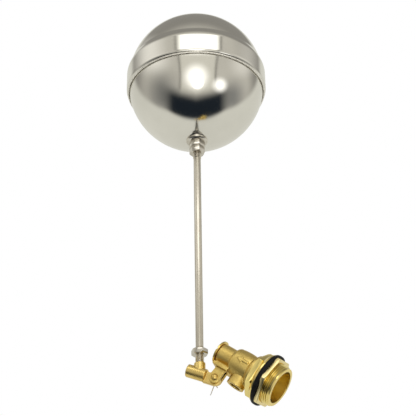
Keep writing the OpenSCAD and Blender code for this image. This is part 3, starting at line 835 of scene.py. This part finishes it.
@dataclass
class Lever:
    """The forged lever, the float arm and its nuts."""

    droop: float = 13.2
    lean: float = 23.3
    boss_offset: float = 19.4 * MM
    arm_start: float = 3 * MM
    arm_end: float = 319 * MM
    lower_thread: float = 30 * MM
    upper_thread: float = 32 * MM
    thread_r: float = 5 * MM
    shank_r: float = 4.5 * MM
    pitch: float = 1.5 * MM
    nut_flats: float = 17 * MM
    thin_nut: Span = (23.2 * MM, 6.5 * MM)
    float_nut: Span = (294.857 * MM, 8.49 * MM)
    hex_boss: Span = (303.357 * MM, 7.5 * MM)
    hex_flats: float = 18 * MM
    flange_r: float = 13.5 * MM
    flange_t: float = 3.4 * MM
    shell_foot: float = 314 * MM
    ball_r: float = 86.75 * MM
    voxel: float = 0.36 * MM
    rounds: int = 8

    def arm_frame(self, along: float = 0.0) -> Matrix:
        """The frame on the arm's axis.

        Args:
            along: The distance from the axis of the lever's barrel.

        Returns:
            The frame, with its local Z along the arm.
        """
        lever = Matrix.Translation(PIVOT) @ Matrix.Rotation(-math.radians(self.droop), 4, "Y")
        crossing = lever @ Matrix.Translation((-self.boss_offset, 0, 0))
        arm = crossing @ Matrix.Rotation(-math.radians(self.lean), 4, "Y")
        return arm @ Matrix.Translation((0, 0, along))

    def arm(self) -> bpy.types.Object:
        """Turns the arm and rolls a thread on each end.

        Returns:
            The arm.
        """
        root, tip, start, end = self.thread_r - 0.85 * MM, 1 * MM, self.arm_start, self.arm_end
        low, high = start + self.lower_thread, end - self.upper_thread
        outline = [(0.0, start), (root - tip, start), (root, start + tip), (root, low), (self.shank_r, low + tip),
                   (self.shank_r, high - tip), (root, high), (root, end - tip), (root - tip, end), (0.0, end)]
        parts = [turned("arm_core", outline, self.arm_frame(), 64)]
        for name, first, turns in (("low", start + 1.2 * MM, 19), ("high", high + 0.9 * MM, 20)):
            parts.append(thread_ridge(f"arm_thread_{name}", root - 0.08 * MM, self.thread_r, self.pitch, first, turns,
                                      self.arm_frame()))
        arm = joined("arm_with_threads", parts)
        smooth(arm, 38)
        return arm

    def nut(self, name: str, at: Span, flats: float) -> bpy.types.Object:
        """Cuts one of the arm's nuts.

        Args:
            name: The piece's name.
            at: Its start along the arm and its height.
            flats: Its width across flats.

        Returns:
            The nut.
        """
        nut = hex_blank(name, flats, at[1] - 0.02 * MM, 0.8 * MM, self.thread_r + 0.03 * MM,
                        self.arm_frame(at[0] + 0.01 * MM), 0.22 * MM)
        smooth(nut, 30)
        return nut

    def flange(self) -> bpy.types.Object:
        """Turns the flange that seats on the ball.

        Returns:
            The flange.
        """
        sink = self.ball_r - math.sqrt(self.ball_r ** 2 - self.flange_r ** 2)
        under = self.shell_foot + sink
        inner = self.thread_r + 0.03 * MM
        middle, start = self.shell_foot + self.ball_r - 0.01 * MM, sum(self.hex_boss) + 0.01 * MM
        radii = [inner + (self.flange_r - inner) * i / 10 for i in range(10, -1, -1)]
        seat = [(r, middle - math.sqrt(self.ball_r ** 2 - r ** 2)) for r in radii]
        top = [(inner, start), (9 * MM, start), (self.flange_r - 1 * MM, under - self.flange_t),
               (self.flange_r, under - self.flange_t + 1 * MM)]
        flange = turned("float_flange_turned", eased(top, 0.3 * MM, closed=False) + seat, self.arm_frame(), 128)
        smooth(flange, 32)
        return flange

    def build(self, nodes: dict[str, bpy.types.Object]) -> None:
        """Models and dresses the lever's and the arm's pieces.

        Args:
            nodes: The CAD nodes by name.
        """
        forging = softened_cast(nodes["lever"], "lever_forging", self.voxel, self.rounds)
        dress(forging, FORGED_BRASS, "float_lever", "forged_brass", "lever")
        dress(self.arm(), DRAWN_STEEL, "float_lever", "drawn_steel", "float_arm")
        for name, at, flats, body, node in (
                ("thin_lock_nut", self.thin_nut, self.nut_flats, "arm_lock_nut", "arm_lock_nut"),
                ("float_nut", self.float_nut, self.nut_flats, "float_lever", "float_lock_nut"),
                ("float_hex_boss", self.hex_boss, self.hex_flats, "float_lever", "float_boss")):
            dress(self.nut(name, at, flats), NUT_STEEL, body, "bright_steel", node)
        dress(self.flange(), NUT_STEEL, "float_lever", "bright_steel", "boss_flange")
        dress_node(nodes["float_bush"], NUT_STEEL)


@dataclass
class Ball:
    """The hollow float: two shells lapped at a rolled belt, with a weld along the seam."""

    arm: Lever = field(default_factory=Lever)
    middle: float = 403.75 * MM
    shell_r: float = 86.75 * MM
    offset: float = 3 * MM
    belt_r: float = 89.15 * MM
    belt_top: float = 9 * MM
    belt_end: float = 23 * MM
    seam: float = -16.5 * MM
    lap: float = 8 * MM
    lip: float = 4 * MM
    sheet: float = 0.6 * MM
    bead_r: float = 0.9 * MM
    steps: int = 200

    def round_r(self, radius: float, off: float) -> float:
        """Radius of a sphere's ring at a distance from its middle."""
        return math.sqrt(max(0.0, radius * radius - off * off))

    def arc(self, radius: float, middle: float, low: float, high: float, count: int) -> Outline:
        """Points of a sphere's outline between two heights.

        Args:
            radius: The sphere's radius.
            middle: The height of its middle.
            low: The first height.
            high: The last height.
            count: The number of steps.

        Returns:
            The points.
        """
        first, last = (math.asin(max(-1, min(1, (end - middle) / radius))) for end in (low, high))
        angles = [first + (last - first) * i / count for i in range(count + 1)]
        return [(max(0.0, radius * math.cos(a)), middle + radius * math.sin(a)) for a in angles]

    def belt(self, steps: int, inset: float) -> Outline:
        """The outline of the belt where it runs out into the crown.

        Args:
            steps: The number of steps.
            inset: How far inside the outer face.

        Returns:
            The points, from the belt upwards.
        """
        points: Outline = []
        for i in range(steps + 1):
            s = self.belt_top + (self.belt_end - self.belt_top) * i / steps
            ball = self.round_r(self.shell_r, s - self.offset)
            points.append((ball + (self.belt_r - ball) * (1 + math.cos(math.pi * i / steps)) / 2 - inset, s))
        return points

    def lower_shell(self) -> bpy.types.Object:
        """Spins the shell on the arm's side.

        Returns:
            The shell.
        """
        edge, hole = self.seam + self.lap, 5.03 * MM
        outer, inner, middle = self.shell_r, self.shell_r - self.sheet, -self.offset
        outline = self.arc(outer, middle, middle - self.round_r(outer, hole), edge, 90)
        outline += self.arc(inner, middle, edge, middle - self.round_r(inner, hole), 60)
        shell = turned("ball_lower_half", outline, self.arm.arm_frame(self.middle), self.steps)
        smooth(shell, 40)
        return shell

    def upper_shell(self) -> bpy.types.Object:
        """Spins the belted shell.

        Returns:
            The shell.
        """
        lap_r = self.round_r(self.shell_r, self.seam + self.offset) + 0.05 * MM
        foot, top = self.seam + self.lip, self.belt_end + 1 * MM
        middle, inner_r = self.offset, self.shell_r - self.sheet
        quarter = [math.pi / 2 * i / 12 for i in range(13)]
        outline = [(lap_r + (self.belt_r - lap_r) * math.sin(a), self.seam + self.lip * (1 - math.cos(a)))
                   for a in quarter]
        outline += [(self.belt_r, foot + (self.belt_top - foot) * i / 12) for i in range(1, 12)]
        outline += self.belt(28, 0.0) + self.arc(self.shell_r, middle, top, middle + self.shell_r, 90)
        outline += self.arc(inner_r, middle, middle + inner_r, top, 50) + self.belt(10, self.sheet)[::-1]
        outline += [(self.belt_r - self.sheet, foot), (lap_r, self.seam + self.sheet)]
        shell = turned("ball_upper_half", outline, self.arm.arm_frame(self.middle), self.steps)
        smooth(shell, 40)
        return shell

    def weld(self) -> bpy.types.Object:
        """Runs the weld bead round the seam.

        Returns:
            The bead.
        """
        ring = self.round_r(self.shell_r, self.seam + self.offset) + self.bead_r + 0.3 * MM
        level, angles = self.seam - self.bead_r - 0.01 * MM, [TURN * i / 14 for i in range(14)]
        outline = [(ring + self.bead_r * math.cos(a), level + self.bead_r * math.sin(a)) for a in angles]
        bead = turned("seam_weld", outline, self.arm.arm_frame(self.middle), 240)
        smooth(bead, 60)
        return bead

    def build(self, nodes: dict[str, bpy.types.Object]) -> None:
        """Models and dresses the float.

        Args:
            nodes: The CAD nodes by name.
        """
        dress(self.lower_shell(), MIRROR_STEEL, "float_lever", "polished_steel", "float_lower_shell")
        dress(self.upper_shell(), MIRROR_STEEL, "float_lever", "polished_steel", "float_upper_shell")
        dress(self.weld(), WELD_STEEL, "float_lever", "weld_steel", "float_weld_bead")

@dataclass
class Tent:
    """A round tent that glows softly inside, and that only polished metal sees: a painted reflection of a room for
    the metals.

    Its pattern is placed as a mirror ball at the tent's middle shows it from the front: on the
    ball's round face, to the right (u) and downwards (v), with the edge of the face at 1.
    """

    middle: Triple
    right: Vector
    down: Vector
    ahead: Vector
    radius: float = 3.0
    room: Triple = (0.62, 0.60, 0.54)
    rim: Triple = (0.30, 0.29, 0.265)
    left_wall: Triple = (1.05, 1.03, 0.96)
    right_wall: Triple = (0.85, 0.83, 0.77)
    left_shade: Triple = (0.22, 0.22, 0.21)
    right_shade: Triple = (0.24, 0.24, 0.23)
    table: Triple = (0.74, 0.735, 0.67)
    frame: Triple = (0.10, 0.095, 0.085)
    pane: Triple = (0.74, 0.72, 0.64)
    sky: Triple = (1.9, 1.88, 1.8)
    corner: Triple = (0.013, 0.018, 0.025)
    glare: Triple = (2.0, 1.98, 1.92)
    bulb: Triple = (6.0, 5.9, 5.7)

    def spot(self, tree: Tree, u: Socket, v: Socket, middle: Span, reach: float) -> Socket:
        """A soft round spot.

        Args:
            tree: The cloth's nodes.
            u: The place to the right.
            v: The place downwards.
            middle: The spot's middle.
            reach: Its radius, where it has faded out.

        Returns:
            The spot's strength.
        """
        across, along = tree.number("SUBTRACT", u, middle[0]), tree.number("SUBTRACT", v, middle[1])
        gap = tree.number("SQRT", tree.number("ADD", tree.product(across, across), tree.product(along, along)))
        return tree.ramp(gap, (0.0, reach), (1.0, 0.0), soft=True)

    def panel(self, tree: Tree, u: Socket, v: Socket, box: tuple[float, float, float, float],
              soft: float) -> Socket:
        """A panel with soft edges.

        Args:
            tree: The cloth's nodes.
            u: The place to the right.
            v: The place downwards.
            box: Its left, right, top and bottom edges.
            soft: Half the width over which each edge fades.

        Returns:
            The panel's strength.
        """
        rise, fall = (0.0, 1.0), (1.0, 0.0)
        sides = zip((u, u, v, v), box, (rise, fall, rise, fall))
        return tree.product(*(tree.ramp(place, (at - soft, at + soft), out, soft=True) for place, at, out in sides))

    def cloth(self) -> bpy.types.Material:
        """The tent's glowing cloth, a painted reflection: a grey room, a pale table, a dark corner and a bright
        window.

        Returns:
            The material.
        """
        material = bpy.data.materials.new("tent_painted_reflection")
        tree = Tree(material)
        tree.nodes.remove(tree.nodes["Principled BSDF"])
        way = tree.vector("NORMALIZE", tree.vector("SUBTRACT", tree.place(), self.middle))
        x, y, z = (tree.vector("DOT_PRODUCT", way, axis) for axis in (self.right, self.down, self.ahead))
        depth = tree.number("SQRT", tree.number("MAXIMUM", tree.number("MULTIPLY_ADD", z, -0.5, 0.5), 0.0))
        depth = tree.number("MAXIMUM", depth, 0.05)
        u, v = (tree.number("DIVIDE", tree.number("MULTIPLY", side, 0.5), depth) for side in (x, y))
        edge = tree.number("SQRT", tree.number("ADD", tree.product(u, u), tree.product(v, v)))
        table = tree.number("ADD", tree.number("MULTIPLY", y, 0.823), tree.number("MULTIPLY", z, 0.568))
        lower = tree.number("ADD", v, 0.1)
        bowed = tree.number("DIVIDE", u, tree.number("MULTIPLY_ADD", tree.product(lower, lower), 0.9, 0.78))
        width = tree.number("ABSOLUTE", u)
        crown = tree.number("MULTIPLY_ADD", width, 0.25, v)
        foot = tree.number("ADD", v, tree.number("MULTIPLY", tree.product(u, u), 0.8))
        corner = tree.product(tree.ramp(width, (0.32, 0.54), (1.0, 0.0), soft=True),
                              tree.ramp(crown, (0.06, 0.26), soft=True),
                              tree.ramp(foot, (0.45, 0.53), (1.0, 0.0), soft=True))
        tone = tree.mix(self.room, self.rim, tree.ramp(edge, (0.7, 0.88), soft=True))
        # Painted reflections, laid one over another: lit walls, shaded sides, the table, the window, its glare and a
        # bulb.
        for colour, where in (
                (self.left_wall, self.spot(tree, u, v, (-0.62, -0.38), 0.34)),
                (self.right_wall, self.spot(tree, u, v, (0.66, -0.30), 0.26)),
                (self.left_shade, self.panel(tree, u, v, (-0.66, -0.34, -0.12, 0.36), 0.2)),
                (self.right_shade, self.panel(tree, u, v, (0.40, 0.66, -0.02, 0.36), 0.16)),
                (self.table, tree.ramp(table, (0.2, 0.36), soft=True)),
                (self.frame, self.panel(tree, bowed, v, (-0.305, 0.365, -0.60, 0.06), 0.025)),
                (self.pane, self.panel(tree, bowed, v, (-0.28, 0.34, -0.62, 0.14), 0.025)),
                (self.sky, self.panel(tree, bowed, v, (-0.24, 0.31, -0.62, -0.45), 0.04)),
                (self.corner, corner),
                (self.glare, self.spot(tree, u, v, (0.0, -0.12), 0.24)),
                (self.glare, self.spot(tree, u, v, (0.34, 0.0), 0.14)),
                (self.bulb, self.spot(tree, u, v, (0.02, -0.03), 0.1))):
            tone = tree.mix(tone, colour, where)
        glow = tree.add("Emission", {"Color": tone})
        tree.links.new(glow.outputs["Emission"], tree.nodes["Material Output"].inputs["Surface"])
        return material

    def hang(self) -> None:
        """Hangs the tent round its middle."""
        bare()
        bpy.ops.mesh.primitive_uv_sphere_add(segments=96, ring_count=48, radius=self.radius, location=self.middle)
        tent = bpy.context.object
        tent.name = "studio_tent"
        settle()
        edit_all()
        bpy.ops.mesh.normals_make_consistent(inside=True)
        bpy.ops.object.mode_set(mode="OBJECT")
        tent.data.materials.append(self.cloth())
        tent.visible_camera = tent.visible_diffuse = tent.visible_shadow = tent.visible_transmission = False


@dataclass
class Studio:
    """The floor, the tent, the lamps, the world and the camera."""

    floor_z: float = -0.46
    floor_size: float = 14.0
    floor_colour: Triple = (0.80, 0.80, 0.77)
    floor_fade: Span = (0.8, 2.4)
    eye: Triple = (0.48645, -1.23199, -0.28571)
    gaze: Triple = (1.936401, -0.601671, 0.286446)
    lens: float = 105.15
    ball: Triple = (-0.309, 0.0, 0.2917)
    lamp_aim: Triple = (-0.15, 0.0, 0.1)
    lamp_gap: float = 2.2
    lamp_colour: Triple = (1.0, 0.98, 0.94)
    soft_light: float = 0.6

    def floor_finish(self) -> bpy.types.Material:
        """The floor's matt pale finish, which fades to white, for the camera, away from the object.

        Returns:
            The material.
        """
        material = bpy.data.materials.new("pale_floor")
        tree = Tree(material)
        shader = tree.nodes["Principled BSDF"]
        place = tree.place()
        mottle = tuple(c * 0.94 for c in self.floor_colour)
        tree.links.new(tree.mix(self.floor_colour, mottle, tree.noise(place, 1.5)), shader.inputs["Base Color"])
        shader.inputs["Roughness"].default_value = 0.8
        far = tree.ramp(tree.vector("LENGTH", place), self.floor_fade, soft=True)
        seen = tree.product(far, tree.add("LightPath", {}).outputs["Is Camera Ray"])
        white = tree.add("Emission", {})
        blend = tree.add("MixShader", {0: seen, 1: shader.outputs[0], 2: white.outputs[0]})
        tree.links.new(blend.outputs[0], tree.nodes["Material Output"].inputs["Surface"])
        return material

    def floor(self) -> None:
        """Lays the pale floor."""
        bare()
        bpy.ops.mesh.primitive_plane_add(size=self.floor_size, location=(0, 0, self.floor_z))
        floor = bpy.context.object
        floor.name = "studio_floor"
        floor.data.materials.append(self.floor_finish())
        floor.visible_glossy = False

    def tent(self) -> None:
        """Hangs the tent round the float, with its front towards the camera's place."""
        ahead = (Vector(self.ball) - Vector(self.eye)).normalized()
        right = Euler(self.gaze).to_matrix() @ Vector((1, 0, 0))
        right = (right - ahead * right.dot(ahead)).normalized()
        Tent(self.ball, right, ahead.cross(right).normalized(), ahead).hang()

    def lamp(self, name: str, toward: Vector, size: Span, watts: float) -> None:
        """Hangs a soft area lamp that faces the object.

        Args:
            name: The lamp's name.
            toward: The direction from the object's middle to the lamp.
            size: Its width and height.
            watts: Its power.
        """
        data = bpy.data.lights.new(name, "AREA")
        data.shape, data.size, data.size_y = "RECTANGLE", size[0], size[1]
        data.energy, data.color = watts, self.lamp_colour
        lamp = bpy.data.objects.new(name, data)
        lamp.location = Vector(self.lamp_aim) + toward.normalized() * self.lamp_gap
        lamp.rotation_euler = toward.to_track_quat("Z", "Y").to_euler()
        lamp.visible_glossy = False
        bpy.context.scene.collection.objects.link(lamp)

    def world(self) -> None:
        """Sets a plain level of soft light, and white for the camera, gloss and glass.

        The tent stands between this white and the metals, so their gloss shows the tent.
        """
        world = bpy.data.worlds.new("studio_world")
        bpy.context.scene.world = world
        tree = Tree(world)
        background = tree.nodes["Background"]
        background.inputs["Color"].default_value = (1, 1, 1, 1)
        path = tree.add("LightPath", {}).outputs
        seen = tree.number("MAXIMUM", path["Is Camera Ray"], path["Is Glossy Ray"])
        seen = tree.number("MAXIMUM", seen, path["Is Transmission Ray"])
        level = tree.ramp(seen, (0.0, 1.0), (self.soft_light, 1.0))
        tree.links.new(level, background.inputs["Strength"])

    def camera(self) -> None:
        """Stands the camera at the given eye and gaze."""
        data = bpy.data.cameras.new("studio_camera")
        data.lens, data.sensor_width, data.clip_end = self.lens, 36.0, 50.0
        camera = bpy.data.objects.new("studio_camera", data)
        camera.location, camera.rotation_euler = self.eye, self.gaze
        bpy.context.scene.collection.objects.link(camera)
        bpy.context.scene.camera = camera

    def build(self) -> None:
        """Sets the studio up."""
        self.camera()
        self.floor()
        self.world()
        self.tent()
        self.lamp("key_lamp", Vector((0.2, -0.75, 0.9)), (1.6, 1.1), 26)
        self.lamp("side_lamp", Vector((1.0, -0.35, 0.2)), (0.5, 1.4), 9)
        bpy.context.scene.view_settings.view_transform = "Standard"
        LOG.info("studio ready")


def main() -> None:
    """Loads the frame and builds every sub-assembly."""
    logging.basicConfig(level=logging.INFO, format="%(name)s: %(message)s")
    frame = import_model()
    nodes = frame["nodes"]
    Studio().build()
    for assembly in (Inlet(), Body(), Piston(), Lever(), Ball()):
        assembly.build(nodes)
        LOG.info("%s done", type(assembly).__name__)


if __name__ == "__main__":
    main()
